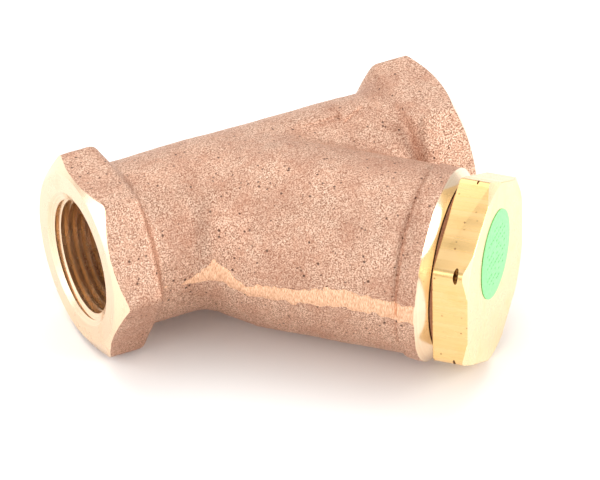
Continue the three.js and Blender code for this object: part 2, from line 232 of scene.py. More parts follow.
# %% Cast bronze
def make_cast_bronze():
    material, tree, shader = new_material("cast_bronze", Metallic=1.0)
    place = millimetres(tree)
    patches = grain(tree, place, 9.0, detail=3.0)
    clouds = grain(tree, place, 2.6, detail=3.0, roughness=0.6)
    sand = grain(tree, place, 0.3, detail=2.0, roughness=0.6)
    fine = grain(tree, place, 0.2, detail=1.0)
    tone = blend(tree, remap(tree, sand, 0.3, 0.7), "92664f", "f2d0b8")
    tone = blend(tree, remap(tree, clouds, 0.35, 0.7, 0.0, 0.4), tone, "cb9b81")
    tone = blend(tree, remap(tree, patches, 0.42, 0.7, 0.0, 0.4), tone, "ad7a62")
    cells = add(
        tree, "ShaderNodeTexVoronoi", {"Vector": place, "Scale": 1 / 1.2, "Randomness": 1.0}
    )
    chosen = remap(tree, clouds, 0.54, 0.6)
    pit = math_node(
        tree, "MULTIPLY", remap(tree, cells.outputs["Distance"], 0.13, 0.3, 1.0, 0.0), chosen
    )
    tone = blend(tree, math_node(tree, "MULTIPLY", pit, 0.75), tone, "3d2c26")
    ground = add(tree, "ShaderNodeAttribute", attribute_name="ground").outputs["Fac"]
    ragged = math_node(
        tree,
        "ADD",
        ground,
        math_node(tree, "MULTIPLY", math_node(tree, "SUBTRACT", clouds, 0.5), 0.5),
    )
    bare = remap(tree, ragged, -0.02, 0.12)
    scratches = grain(tree, place, 0.28, detail=2.0, stretch=(1.8, 1.8, 0.35))
    filed = blend(tree, remap(tree, scratches, 0.3, 0.7), "cc9877", "fbd0ae")
    tone = blend(tree, bare, tone, filed)
    rough = math_node(
        tree,
        "MULTIPLY",
        remap(tree, sand, 0.3, 0.7, 0.62, 0.48),
        math_node(tree, "SUBTRACT", 1.0, math_node(tree, "MULTIPLY", bare, 0.25)),
    )
    skin = math_node(tree, "ADD", sand, math_node(tree, "MULTIPLY", fine, 0.35))
    skin = math_node(tree, "SUBTRACT", skin, math_node(tree, "MULTIPLY", pit, 1.2))
    quiet = math_node(tree, "SUBTRACT", 1.0, math_node(tree, "MULTIPLY", bare, 0.8))
    relief = math_node(tree, "MULTIPLY", skin, quiet)
    relief = math_node(
        tree,
        "ADD",
        relief,
        math_node(tree, "MULTIPLY", math_node(tree, "MULTIPLY", scratches, bare), 0.2),
    )
    tree.links.new(tone, shader.inputs["Base Color"])
    tree.links.new(rough, shader.inputs["Roughness"])
    tree.links.new(bump(tree, relief, 0.14), shader.inputs["Normal"])
    return material


cast_bronze = make_cast_bronze()
print("made", cast_bronze.name, "with", len(cast_bronze.node_tree.nodes), "nodes")

# %% [markdown]
# ## Turned metal
# The end faces, the bevels and the threads are cut on a lathe, so their marks are fine rings
# round one axis. The distance from the axis plus the distance along it gives one number that
# grows steadily over every turned face, flat or conical, and noise of that single number draws
# rings. The run and the branch each need their own axis, so one function makes both.


# %% Turned bronze and brass
def make_turned(name, axis, pale, deep, roughness):
    """A turned metal whose tool marks run round the given axis."""
    material, tree, shader = new_material(name, Metallic=1.0)
    place = millimetres(tree)
    along = add(
        tree, "ShaderNodeVectorMath", {0: place, 1: axis}, operation="DOT_PRODUCT"
    ).outputs["Value"]
    on_axis = add(
        tree, "ShaderNodeVectorMath", {0: axis, "Scale": along}, operation="SCALE"
    ).outputs[0]
    outward = add(
        tree, "ShaderNodeVectorMath", {0: place, 1: on_axis}, operation="SUBTRACT"
    ).outputs[0]
    radius = add(tree, "ShaderNodeVectorMath", {0: outward}, operation="LENGTH").outputs["Value"]
    travel = math_node(tree, "ADD", radius, math_node(tree, "MULTIPLY", along, 0.8))
    rings = add(
        tree,
        "ShaderNodeTexNoise",
        {"W": travel, "Scale": 7.0, "Detail": 2.0},
        noise_dimensions="1D",
    ).outputs["Fac"]
    stain = grain(tree, place, 5.0, detail=4.0, roughness=0.6)
    specks = grain(tree, place, 0.9, detail=1.0)
    tone = blend(tree, remap(tree, rings, 0.25, 0.75, 0.0, 0.35), pale, deep)
    tone = blend(tree, remap(tree, stain, 0.52, 0.75, 0.0, 0.25), tone, deep)
    tone = blend(tree, remap(tree, specks, 0.77, 0.82, 0.0, 0.6), tone, "7c4a2e")
    rough = math_node(tree, "ADD", remap(tree, stain, 0.3, 0.7, 0.0, 0.1), roughness)
    tree.links.new(tone, shader.inputs["Base Color"])
    tree.links.new(rough, shader.inputs["Roughness"])
    tree.links.new(bump(tree, rings, 0.002), shader.inputs["Normal"])
    return material


turned_run = make_turned("turned_bronze_run", RUN, "f8dfc0", "e0b28c", 0.2)
turned_branch = make_turned("turned_bronze_branch", BRANCH, "fae4c6", "e0b088", 0.16)
turned_brass = make_turned("turned_brass", BRANCH, "f9e6bc", "ecca88", 0.24)
print("made", [m.name for m in (turned_run, turned_branch, turned_brass)])

# %% [markdown]
# ## Drawn brass
# The cap is cut from hexagonal bar, which is drawn through a die. Drawing leaves faint straight
# lines along the bar, and handling leaves brown specks. The noise is squeezed along the branch,
# so its lumps become lines in that direction.


# %% Drawn brass
def make_drawn_brass():
    material, tree, shader = new_material("drawn_brass", Metallic=1.0)
    place = millimetres(tree)
    turned_frame = Matrix((BRANCH, BRANCH.cross(UP), UP))
    rows = []
    for axis, squeeze in zip(turned_frame, (0.05, 1.0, 1.0)):
        rows.append(
            math_node(
                tree,
                "MULTIPLY",
                add(
                    tree, "ShaderNodeVectorMath", {0: place, 1: axis}, operation="DOT_PRODUCT"
                ).outputs["Value"],
                squeeze,
            )
        )
    bar_place = add(tree, "ShaderNodeCombineXYZ", {0: rows[0], 1: rows[1], 2: rows[2]}).outputs[0]
    lines = grain(tree, bar_place, 0.35, detail=3.0, roughness=0.6)
    broad = grain(tree, bar_place, 2.4, detail=2.0)
    stain = grain(tree, place, 4.0, detail=3.0)
    cells = add(
        tree, "ShaderNodeTexVoronoi", {"Vector": place, "Scale": 1 / 2.2, "Randomness": 1.0}
    )
    speck = remap(tree, cells.outputs["Distance"], 0.06, 0.13, 1.0, 0.0)
    tone = blend(tree, remap(tree, lines, 0.35, 0.85), "eec688", "e8be7e")
    tone = blend(tree, remap(tree, broad, 0.45, 0.7, 0.0, 0.4), tone, "f3d09a")
    tone = blend(tree, remap(tree, stain, 0.5, 0.72, 0.0, 0.2), tone, "deb25e")
    tone = blend(tree, math_node(tree, "MULTIPLY", speck, 0.7), tone, "8a5226")
    tree.links.new(tone, shader.inputs["Base Color"])
    tree.links.new(remap(tree, broad, 0.3, 0.7, 0.2, 0.32), shader.inputs["Roughness"])
    tree.links.new(bump(tree, lines, 0.0015), shader.inputs["Normal"])
    return material


drawn_brass = make_drawn_brass()
print("made", drawn_brass.name)

# %% [markdown]
# ## Screen, gasket and label finishes
# The screen is bright stainless wire with pressed strip bands. The gasket is a stamped fibre
# ring, matt and flecked. The label is a paper dot printed in one green with darker dashes.


# %% The smaller materials
def make_stainless(name, roughness):
    material, tree, shader = new_material(name, Metallic=1.0)
    place = millimetres(tree)
    smear = grain(tree, place, 1.5, detail=4.0, roughness=0.65)
    tone = blend(tree, remap(tree, smear, 0.35, 0.7), "c3c6c8", "a3a6a6")
    tree.links.new(tone, shader.inputs["Base Color"])
    tree.links.new(
        remap(tree, smear, 0.3, 0.7, roughness, roughness + 0.12), shader.inputs["Roughness"]
    )
    tree.links.new(bump(tree, grain(tree, place, 0.25, detail=2.0), 0.006), shader.inputs["Normal"])
    return material


def make_fibre():
    material, tree, shader = new_material("gasket_fibre", Roughness=0.85)
    place = millimetres(tree)
    fibres = grain(tree, place, 0.5, detail=4.0, roughness=0.7, stretch=(1, 1, 3))
    tone = blend(tree, remap(tree, fibres, 0.3, 0.7), "7a482e", "a8714c")
    tree.links.new(tone, shader.inputs["Base Color"])
    tree.links.new(bump(tree, fibres, 0.05), shader.inputs["Normal"])
    return material


def make_paper(name, pale, deep):
    material, tree, shader = new_material(name)
    place = millimetres(tree)
    fibres = grain(tree, place, 0.6, detail=4.0, roughness=0.7)
    tone = blend(tree, remap(tree, fibres, 0.3, 0.7), pale, deep)
    tree.links.new(tone, shader.inputs["Base Color"])
    tree.links.new(remap(tree, fibres, 0.3, 0.7, 0.5, 0.62), shader.inputs["Roughness"])
    tree.links.new(bump(tree, fibres, 0.01), shader.inputs["Normal"])
    return material


screen_wire = make_stainless("screen_wire", 0.25)
screen_strip = make_stainless("screen_strip", 0.3)
gasket_fibre = make_fibre()
label_paper = make_paper("label_paper", "96f09c", "84e48c")
label_ink = make_paper("label_ink", "5a9c62", "4c8c56")
print("made", [m.name for m in (screen_wire, screen_strip, gasket_fibre, label_paper, label_ink)])

# %% [markdown]
# ## Helpers for shapes
# Three things are needed over and over: a solid turned from a profile, a boolean cut, and the
# last step that puts a finished mesh into the frame. The boolean keeps the material of whichever
# solid a face came from, so a turned cutter leaves turned faces behind, just as on a lathe.


# %% Meshes from points
def mesh_of(name, points, faces, finishes, finish=0):
    """A mesh in mm, with one of its finishes on every face and its faces outwards."""
    mesh = bpy.data.meshes.new(name)
    mesh.from_pydata([tuple(p) for p in points], [], [tuple(f) for f in faces])
    for material in finishes:
        mesh.materials.append(material)
    mesh.polygons.foreach_set("material_index", [finish] * len(mesh.polygons))
    mesh.update()
    face_outwards(mesh)
    return mesh


def face_outwards(mesh):
    """Turns a closed mesh the right way out, judged by the sign of its volume."""
    shape = bmesh.new()
    shape.from_mesh(mesh)
    if shape.calc_volume(signed=True) < 0:
        bmesh.ops.reverse_faces(shape, faces=shape.faces)
        shape.to_mesh(mesh)
    shape.free()


def lathe(name, profile, axis, finishes, finish=0, sides=128, rise=0.0):
    """Turns a closed outline of [radius, place along the axis] corners. The axis may be raised."""
    side = axis.cross(UP)
    points, rings = [], []
    for radius, along in profile:
        centre = axis * along + UP * rise
        if radius == 0:
            rings.append([len(points)] * sides)
            points.append(centre)
            continue
        rings.append(list(range(len(points), len(points) + sides)))
        for step in range(sides):
            angle = 2 * math.pi * step / sides
            points.append(centre + radius * (UP * math.cos(angle) + side * math.sin(angle)))
    faces = []
    for first, second in zip(rings, rings[1:] + rings[:1]):
        for step in range(sides):
            after = (step + 1) % sides
            corners = list(dict.fromkeys((first[step], first[after], second[after], second[step])))
            if len(corners) > 2:
                faces.append(corners)
    return mesh_of(name, points, faces, finishes, finish)


# %% Booleans and the last step of each piece
def carve(mesh, tool, operation):
    """The mesh after a cut (DIFFERENCE), a join (UNION) or an overlap (INTERSECT) with the tool."""
    blank = bpy.data.objects.new("blank", mesh)
    cutter = bpy.data.objects.new("cutter", tool)
    for shape in (blank, cutter):
        bpy.context.scene.collection.objects.link(shape)
    boolean = blank.modifiers.new("carve", "BOOLEAN")
    boolean.object = cutter
    boolean.operation = operation
    boolean.solver = "MANIFOLD"
    graph = bpy.context.evaluated_depsgraph_get()
    result = bpy.data.meshes.new_from_object(blank.evaluated_get(graph))
    if len(result.vertices) == len(mesh.vertices):
        raise RuntimeError("the boolean with " + tool.name + " changed nothing")
    bpy.data.objects.remove(blank)
    bpy.data.objects.remove(cutter)
    return result


def grown(tree, inputs, name):
    """The mesh that a Geometry Nodes tree makes with these inputs, as plain mesh data."""
    shape = bpy.data.objects.new(name, bpy.data.meshes.new(name))
    bpy.context.scene.collection.objects.link(shape)
    modifier = shape.modifiers.new("grow", "NODES")
    modifier.node_group = tree
    for item in tree.interface.items_tree:
        if item.in_out == "INPUT" and item.name in inputs:
            modifier[item.identifier] = inputs[item.name]
    graph = bpy.context.evaluated_depsgraph_get()
    result = bpy.data.meshes.new_from_object(shape.evaluated_get(graph))
    shape.modifiers.remove(modifier)
    bpy.data.objects.remove(shape)
    return result


def on_axis(mesh, axis, start=0.0):
    """Moves a mesh drawn about +Z onto an axis, with its X towards +Z and `start` along it."""
    side = axis.cross(UP)
    mesh.transform(
        Matrix.Translation(axis * start) @ Matrix((UP, side, axis)).transposed().to_4x4()
    )
    face_outwards(mesh)
    return mesh


def finished(name, mesh, body, slot, *nodes, sharp=32):
    """Puts a mesh in mm into the frame, in metres, and hands it to its moving body."""
    mesh.transform(Matrix.Translation(CROSSING) @ Matrix.Scale(0.001, 4))
    mesh.polygons.foreach_set("use_smooth", [True] * len(mesh.polygons))
    mesh.set_sharp_from_angle(angle=math.radians(sharp))
    mesh.name = name
    piece = bpy.data.objects.new(name, mesh)
    bpy.context.scene.collection.objects.link(piece)
    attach(piece, body)
    if nodes:
        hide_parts(*nodes)
    triangles = sum(len(face.vertices) - 2 for face in mesh.polygons)
    print("finished", name, "with", triangles, "triangles")


# %% [markdown]
# ## A screw thread from Geometry Nodes
# All three threads here are the same thing: a ridge with a flat top that winds round a core and
# fades out at both ends. A spiral curve carries a four-cornered section, and the section's size
# follows its place along the curve, so the first and last third of a turn grow out of the core.
# The same ridge makes an outside thread when it is joined to a bar, and an inside thread when it
# is part of a cutter.


# %% The thread tree
FADE_TURNS = 1 / 3  # how much of a turn each end of a ridge takes to grow out of the core


def value_input(tree, name, kind="NodeSocketFloat"):
    tree.interface.new_socket(name, in_out="INPUT", socket_type=kind)


def make_thread_tree():
    tree = bpy.data.node_groups.new("screw_thread", "GeometryNodeTree")
    for name in (
        "Core radius",
        "End core radius",
        "Ridge height",
        "Root width",
        "Crest width",
        "Length",
        "Turns",
    ):
        value_input(tree, name)
    value_input(tree, "Steps per turn", "NodeSocketInt")
    value_input(tree, "Finish", "NodeSocketMaterial")
    tree.interface.new_socket("Geometry", in_out="OUTPUT", socket_type="NodeSocketGeometry")
    given = add(tree, "NodeGroupInput").outputs
    spiral = add(
        tree,
        "GeometryNodeCurveSpiral",
        {
            "Resolution": given["Steps per turn"],
            "Rotations": given["Turns"],
            "Start Radius": given["Core radius"],
            "End Radius": given["End core radius"],
            "Height": given["Length"],
            "Reverse": True,
        },
    )
    upright = add(tree, "GeometryNodeSetCurveNormal", {0: spiral.outputs[0]}, mode="Z_UP")
    corners = {}
    for corner, (width, outer, sign) in enumerate(
        (
            ("Root width", 0, 0.5),
            ("Crest width", 1, 0.5),
            ("Crest width", 1, -0.5),
            ("Root width", 0, -0.5),
        ),
        1,
    ):
        half = math_node(tree, "MULTIPLY", given[width], sign)
        reach = math_node(tree, "MULTIPLY", given["Ridge height"], float(outer))
        corners[f"Point {corner}"] = add(
            tree, "ShaderNodeCombineXYZ", {0: reach, 1: half}
        ).outputs[0]
    section = add(tree, "GeometryNodeCurvePrimitiveQuadrilateral", corners, mode="POINTS")
    travelled = add(tree, "GeometryNodeSplineParameter").outputs["Factor"]
    left = math_node(tree, "SUBTRACT", 1.0, travelled)
    nearest = math_node(tree, "MINIMUM", travelled, left)
    turns_in = math_node(tree, "MULTIPLY", nearest, given["Turns"])
    size = add(
        tree,
        "ShaderNodeMapRange",
        {"Value": turns_in, "From Min": 0.0, "From Max": FADE_TURNS, "To Min": 0.03, "To Max": 1.0},
    ).outputs["Result"]
    ridge = add(
        tree,
        "GeometryNodeCurveToMesh",
        {
            "Curve": upright.outputs[0],
            "Profile Curve": section.outputs[0],
            "Scale": size,
            "Fill Caps": True,
        },
    )
    whole = add(tree, "GeometryNodeRealizeInstances", {0: ridge.outputs[0]})
    finish = add(
        tree, "GeometryNodeSetMaterial", {"Geometry": whole.outputs[0], "Material": given["Finish"]}
    )
    add(tree, "NodeGroupOutput", {0: finish.outputs[0]})
    return tree


thread_tree = make_thread_tree()
print("thread tree has", len(thread_tree.nodes), "nodes")


# %% One ridge, ready to join or cut
FLANK = math.tan(math.radians(30))
SINK = 0.2


def thread_ridge(
    axis,
    start,
    length,
    pitch,
    core,
    crest,
    crest_width,
    finishes,
    finish,
    taper=0.0,
    worn=0.0,
    steps=72,
):
    """A right-hand ridge from `start` along the axis, sunk a little into its core."""
    low = core - SINK
    root_width = crest_width + 2 * (crest - low) * FLANK - worn
    inputs = {
        "Core radius": low,
        "End core radius": low - taper * length,
        "Ridge height": crest - low,
        "Root width": root_width,
        "Crest width": crest_width,
        "Length": length,
        "Turns": length / pitch,
        "Steps per turn": steps,
        "Finish": finishes[finish],
    }
    mesh = on_axis(grown(thread_tree, inputs, "ridge"), axis, start)
    mesh.materials.clear()
    for material in finishes:
        mesh.materials.append(material)
    mesh.polygons.foreach_set("material_index", [finish] * len(mesh.polygons))
    return mesh


# %% [markdown]
# ## The casting's skin
# The outside of the body is a run, a branch, two hexagons and a raised arrow, all melted into
# one another by soft fillets, because sand can't hold a sharp inside corner. Boxes and tubes
# with bevels would need a modelled fillet at every join. A distance function does it directly:
# for any point it says how far the skin is, and a smooth minimum of two distances is a fillet.
# OpenVDB turns the function into a mesh, and each vertex is then moved exactly onto the skin.

# %% Sizes of the casting
RUN_RADIUS = 17.2
RUN_WAVE = ((-30, 17.3), (-12, 17.3), (0, 17.4), (14, 17.1), (30, 17.05), (40, 16.85), (54, 16.85))
HEX_FLATS = 38.0
INLET_HEX = (10.5, 0.06)  # thickness at the run, and how much the back leans
OUTLET_HEX = (11.9, 0.32)
HEX_ROUNDING = 0.9
BRANCH_PROFILE = (
    (-10.3, 11.5),
    (0, 16.0),
    (8, 18.6),
    (15, 19.75),
    (46.6, 19.85),
    (47.6, 19.45),
    (47.9, 20.35),
    (60, 20.38),
)
BRANCH_START = -10.3
VALLEY_FILLET = 2.7
HEX_FILLET = 1.7
ARROW_CENTRE, ARROW_LENGTH, ARROW_HEAD = 29.0, 15.0, 6.0
ARROW_SHAFT, ARROW_WIDTH, ARROW_RISE = 2.2, 6.4, 0.75


def smooth_min(first, second, width):
    """The nearer of two skins, with a fillet where they meet."""
    share = np.clip(0.5 + 0.5 * (second - first) / width, 0, 1)
    return second + (first - second) * share - width * share * (1 - share)


def smooth_max(first, second, width):
    """The overlap of two solids, with a rounded edge where they meet."""
    return -smooth_min(-first, -second, width)


# %% The distance functions
def hexagon_end(x, y, z, face, inward, thickness, lean):
    """An end hexagon with flats above and below. Its cast back leans away from the corners."""
    depth = (x - face) * inward
    flats = smooth_max(np.abs(z), np.abs(0.866 * y + 0.5 * z), HEX_ROUNDING)
    flats = smooth_max(flats, np.abs(0.866 * y - 0.5 * z), HEX_ROUNDING) - HEX_FLATS / 2
    back = depth - thickness + lean * (np.hypot(y, z) - RUN_RADIUS)
    return np.maximum(smooth_max(flats, back, 2.0), -1.0 - depth)


def arrow(x, y, z):
    """A raised arrow on top of the run that points downstream."""
    ahead = x - (ARROW_CENTRE + ARROW_LENGTH / 2)
    shaft = np.maximum(
        np.abs(y) - ARROW_SHAFT / 2,
        np.abs(x - ARROW_CENTRE + ARROW_HEAD / 2) - (ARROW_LENGTH - ARROW_HEAD) / 2,
    )
    slope = ARROW_WIDTH / 2 / ARROW_HEAD
    head = np.maximum((np.abs(y) + slope * ahead) / math.hypot(1, slope), -ARROW_HEAD - ahead)
    outline = np.minimum(shaft, head)
    height = np.hypot(y, z) - np.interp(x, *zip(*RUN_WAVE)) - ARROW_RISE
    return np.maximum(smooth_max(outline, height, 0.5), -z)


def casting(x, y, z):
    """Distance to the casting's skin in mm, negative inside."""
    run = np.hypot(y, z) - np.interp(x, *zip(*RUN_WAVE))
    run = np.maximum(run, np.abs(x - (INLET + OUTLET) / 2) - (OUTLET - INLET) / 2 - 1)
    along = BRANCH.x * x + BRANCH.y * y
    across = BRANCH.x * y - BRANCH.y * x
    lift = 0.5 * np.clip((along - 47) / 3, 0, 1)
    branch = np.hypot(across, z + lift) - np.interp(along, *zip(*BRANCH_PROFILE))
    branch = np.maximum(smooth_max(branch, BRANCH_START - along, 2.0), along - BRANCH_FACE - 1)
    skin = smooth_min(run, branch, VALLEY_FILLET)
    skin = smooth_min(skin, hexagon_end(x, y, z, INLET, 1, *INLET_HEX), HEX_FILLET)
    skin = smooth_min(skin, hexagon_end(x, y, z, OUTLET, -1, *OUTLET_HEX), HEX_FILLET)
    return smooth_min(skin, arrow(x, y, z), 0.5)


# %% [markdown]
# ## The parting line
# The mould splits along the plane that holds the run and the branch. A thin flash of metal
# creeps into that split and is ground off afterwards, which leaves a flat bright strip with wavy
# edges. Its half width changes along the part, so one function of place gives both the small
# step in the skin and the attribute that the bronze material reads.


# %% Parting strip and cast lumps
def ripple(points, size, seed):
    """Smooth noise from -1 to 1 with lumps about `size` mm across."""
    shift = Vector((seed, 1.7 * seed, 2.3 * seed))
    return np.array([noise.noise(Vector(p) / size + shift) for p in points])


GRID_STEP = 0.5
SLOPE_REACH = 0.02
SAND_LUMPS = ((0.1, 7.0, 0.0), (0.06, 2.4, 11.0), (0.035, 1.1, 13.0))  # height, size and seed
STRIP_STEP = 0.13  # how far the ground flash stands proud
# Each pair is a place along the branch, then the strip's middle height or its half width.
STRIP_PATH = (
    (1, -0.9),
    (5, -0.6),
    (8, 1.2),
    (11, 0.6),
    (15, -1.2),
    (25, -0.6),
    (36, 1.0),
    (44, 0.5),
    (54, 0.0),
)
STRIP_HALF = (
    (1, -0.6), (4, 0.9), (8, 2.4), (11, 2.0), (15, 1.2), (25, 1.8), (36, 2.2), (44, 2.0), (54, 2.2)
)


def strip_margin(points):
    """How far inside the ground strip each point is, in mm. It is negative outside."""
    x, y, z = points.T
    along = BRANCH.x * x + BRANCH.y * y
    across = BRANCH.x * y - BRANCH.y * x
    on_plane = points * np.array((1, 1, 0))
    ragged = 0.8 * ripple(points, 1.7, 9.0) + 0.4 * ripple(points, 0.8, 15.0)
    near_side = (across < 0) & (along > 1) & (np.hypot(y, z) > RUN_RADIUS - 0.5)
    middle = np.where(
        near_side, np.interp(along, *zip(*STRIP_PATH)), 0.4 * ripple(on_plane, 9.0, 3.0)
    )
    half = np.where(
        near_side, np.interp(along, *zip(*STRIP_HALF)), 0.05 + 0.6 * ripple(on_plane, 6.0, 7.0)
    )
    return half + ragged - np.abs(z - middle)


def grow_skin():
    """The casting's skin as points and quads, in mm."""
    low, high = np.array((INLET - 2.0, -54.5, -23.0)), (OUTLET + 2.0, 23.0, 23.0)
    counts = [int((reach - start) / GRID_STEP) + 1 for start, reach in zip(low, high)]
    x, y, z = np.meshgrid(
        *(start + GRID_STEP * np.arange(n) for start, n in zip(low, counts)), indexing="ij"
    )
    grid = openvdb.FloatGrid(background=1.0)
    grid.copyFromArray(np.clip(casting(x, y, z), -2, 2).astype(np.float32))
    points, quads = grid.convertToQuads(isovalue=0.0)
    return low + GRID_STEP * points.astype(float), quads


def slope_of(points):
    """The outward direction of the distance function at each point."""
    parts = []
    for step in SLOPE_REACH * np.eye(3):
        parts.append(casting(*(points + step).T) - casting(*(points - step).T))
    slope = np.array(parts).T
    return slope / np.maximum(np.linalg.norm(slope, axis=1, keepdims=True), 1e-9)


def settle(points):
    """Moves the points onto the skin, then adds the lumps of sand casting and the ground strip."""
    for _ in range(3):
        points = points - slope_of(points) * casting(*points.T)[:, None]
    outward = slope_of(points)
    strip = np.clip(strip_margin(points) / 0.5, 0, 1)
    lumps = sum(height * ripple(points, size, seed) for height, size, seed in SAND_LUMPS)
    height = lumps * (1 - 0.85 * strip) + STRIP_STEP * strip
    return points + outward * height[:, None]


skin_points, skin_quads = grow_skin()
skin_points = settle(skin_points)
BODY_FINISHES = [cast_bronze, turned_run, turned_branch]
SKIN, RUN_CUT, BRANCH_CUT = range(3)
body_mesh = mesh_of("skin", skin_points, skin_quads, BODY_FINISHES, SKIN)
print("skin has", len(skin_points), "points")

# %% [markdown]
# ## Machining the ends
# After casting, a lathe faces each end, bevels it at 30 degrees, opens the mouth of the hole and
# taps a 3/4-14 taper thread. Each of those steps is a turned cutter here, and the boolean leaves
# the same ragged border between bright metal and cast skin as the real tool does, because the
# skin that it cuts is itself lumpy.

# %% Pipe thread sizes, 3/4-14
PIPE_PITCH = 25.4 / 14
PIPE_MAJOR = 13.4
PIPE_DEPTH = PIPE_PITCH * 0.75 / (2 * FLANK)
PIPE_CORE = PIPE_MAJOR - PIPE_DEPTH
PIPE_LENGTH = 12.6
PIPE_TAPER = 1 / 32
WORN_CREST = 0.25
FACE_RADIUS = HEX_FLATS / 2 - 0.7
MOUTH_RADIUS = PIPE_MAJOR + 1.0
SOCKET_DEPTH = PIPE_LENGTH + PIPE_PITCH


# %% Face, bevel and socket
def machine_end(mesh, face, inward):
    """Cuts one end: `inward` is 1 when the metal lies towards +X from the face."""
    def place(profile):
        return [(radius, face + inward * depth) for radius, depth in profile]

    bevel = (28 - FACE_RADIUS) * FLANK
    facing = lathe(
        "facing",
        place([(0, -4), (28, -4), (28, bevel), (FACE_RADIUS, 0), (0, 0)]),
        RUN,
        BODY_FINISHES,
        RUN_CUT,
    )
    mouth = lathe(
        "mouth",
        place(
            [
                (0, -1),
                (MOUTH_RADIUS, -1),
                (MOUTH_RADIUS, 0),
                (PIPE_CORE, (MOUTH_RADIUS - PIPE_CORE) * FLANK),
                (0, 3),
            ]
        ),
        RUN,
        BODY_FINISHES,
        RUN_CUT,
    )
    core = lathe(
        "core",
        place(
            [
                (0, -1),
                (PIPE_CORE + PIPE_TAPER, -1),
                (PIPE_CORE - PIPE_TAPER * SOCKET_DEPTH, SOCKET_DEPTH),
                (0, SOCKET_DEPTH),
            ]
        ),
        RUN,
        BODY_FINISHES,
        RUN_CUT,
    )
    ridge = thread_ridge(
        RUN * inward,
        face * inward,
        PIPE_LENGTH,
        PIPE_PITCH,
        PIPE_CORE,
        PIPE_MAJOR,
        PIPE_PITCH / 8,
        BODY_FINISHES,
        RUN_CUT,
        PIPE_TAPER,
        WORN_CREST,
    )
    for tool in (facing, mouth, core, ridge):
        mesh = carve(mesh, tool, "DIFFERENCE")
    return mesh


body_mesh = machine_end(body_mesh, INLET, 1)
body_mesh = machine_end(body_mesh, OUTLET, -1)
print("ends machined:", len(body_mesh.polygons), "faces")

# %% [markdown]
# ## The waterway and the branch
# Inside, a cored hole follows the run, parted by a bridge wall that stands square to the branch.
# The screen sits in a hole through that wall. The branch has its own chamber, with the cap's
# 1 1/4-12 thread at its mouth and a conical bevel round its face. The cored parts keep the sandy
# finish, and the thread and the bevel get the turned one.

# %% Branch sizes
CAP_PITCH = 25.4 / 12
CAP_DEPTH = CAP_PITCH * 0.625 / (2 * FLANK)
THREAD_GAP = 0.2
POCKET_RADIUS = BAND_RADIUS + 0.3
CAP_CORE = POCKET_RADIUS + 2.23
CHAMBER_RADIUS = CAP_CORE + THREAD_GAP
CAP_MAJOR = CHAMBER_RADIUS + CAP_DEPTH
THREAD_LENGTH = 9.0
THREAD_START = BRANCH_FACE - THREAD_LENGTH
BRIDGE = 3.0
SEAT_HOLE = SLEEVE_RADIUS - 1.4
SEAT_DEPTH = 1.0
COLLAR_RADIUS = CAP_MAJOR + 4.5
FACE_BEVEL = 2.3


# %% Waterway
def cut_waterway(mesh):
    step = PIPE_PITCH
    start, end = INLET + SOCKET_DEPTH, OUTLET - SOCKET_DEPTH
    bore = lathe(
        "bore",
        [
            (0, start - step),
            (PIPE_MAJOR - step, start - step),
            (PIPE_MAJOR, start),
            (PIPE_MAJOR, end),
            (PIPE_MAJOR - step, end + step),
            (0, end + step),
        ],
        RUN,
        BODY_FINISHES,
        SKIN,
    )
    wall = lathe(
        "wall",
        [(0, -BRIDGE / 2), (60, -BRIDGE / 2), (60, BRIDGE / 2), (0, BRIDGE / 2)],
        BRANCH,
        BODY_FINISHES,
        SKIN,
    )
    seat = lathe(
        "seat",
        [
            (0, -BRIDGE),
            (SEAT_HOLE, -BRIDGE),
            (SEAT_HOLE, BRIDGE / 2 - SEAT_DEPTH),
            (POCKET_RADIUS, BRIDGE / 2 - SEAT_DEPTH),
            (POCKET_RADIUS, BRIDGE),
            (0, BRIDGE),
        ],
        BRANCH,
        BODY_FINISHES,
        BRANCH_CUT,
    )
    return carve(carve(mesh, carve(bore, wall, "DIFFERENCE"), "DIFFERENCE"), seat, "DIFFERENCE")


# %% Chamber, thread and bevel of the branch
def cut_branch(mesh):
    chamber = lathe(
        "chamber",
        [
            (0, BRIDGE / 2),
            (CHAMBER_RADIUS, BRIDGE / 2),
            (CHAMBER_RADIUS, THREAD_START - 3),
            (0, THREAD_START - 3),
        ],
        BRANCH,
        BODY_FINISHES,
        SKIN,
    )
    mouth = CAP_MAJOR + THREAD_GAP
    cut = mouth - CHAMBER_RADIUS
    opening = lathe(
        "opening",
        [
            (0, THREAD_START - 3.5),
            (CHAMBER_RADIUS, THREAD_START - 3.5),
            (CHAMBER_RADIUS, BRANCH_FACE - cut),
            (mouth, BRANCH_FACE),
            (mouth, BRANCH_FACE + 1),
            (0, BRANCH_FACE + 1),
        ],
        BRANCH,
        BODY_FINISHES,
        BRANCH_CUT,
    )
    ridge = thread_ridge(
        BRANCH,
        THREAD_START - CAP_PITCH,
        THREAD_LENGTH + 1.5 * CAP_PITCH,
        CAP_PITCH,
        CHAMBER_RADIUS,
        CAP_MAJOR,
        CAP_PITCH / 8,
        BODY_FINISHES,
        BRANCH_CUT,
    )
    rim = COLLAR_RADIUS - FACE_BEVEL
    bevel = lathe(
        "bevel",
        [
            (0, BRANCH_FACE),
            (rim, BRANCH_FACE),
            (rim + 6, BRANCH_FACE - 6),
            (rim + 6, BRANCH_FACE + 3),
            (0, BRANCH_FACE + 3),
        ],
        BRANCH,
        BODY_FINISHES,
        BRANCH_CUT,
    )
    for tool in (bevel, chamber, opening, ridge):
        mesh = carve(mesh, tool, "DIFFERENCE")
    return mesh


body_mesh = cut_branch(cut_waterway(body_mesh))
print("branch machined:", len(body_mesh.polygons), "faces")


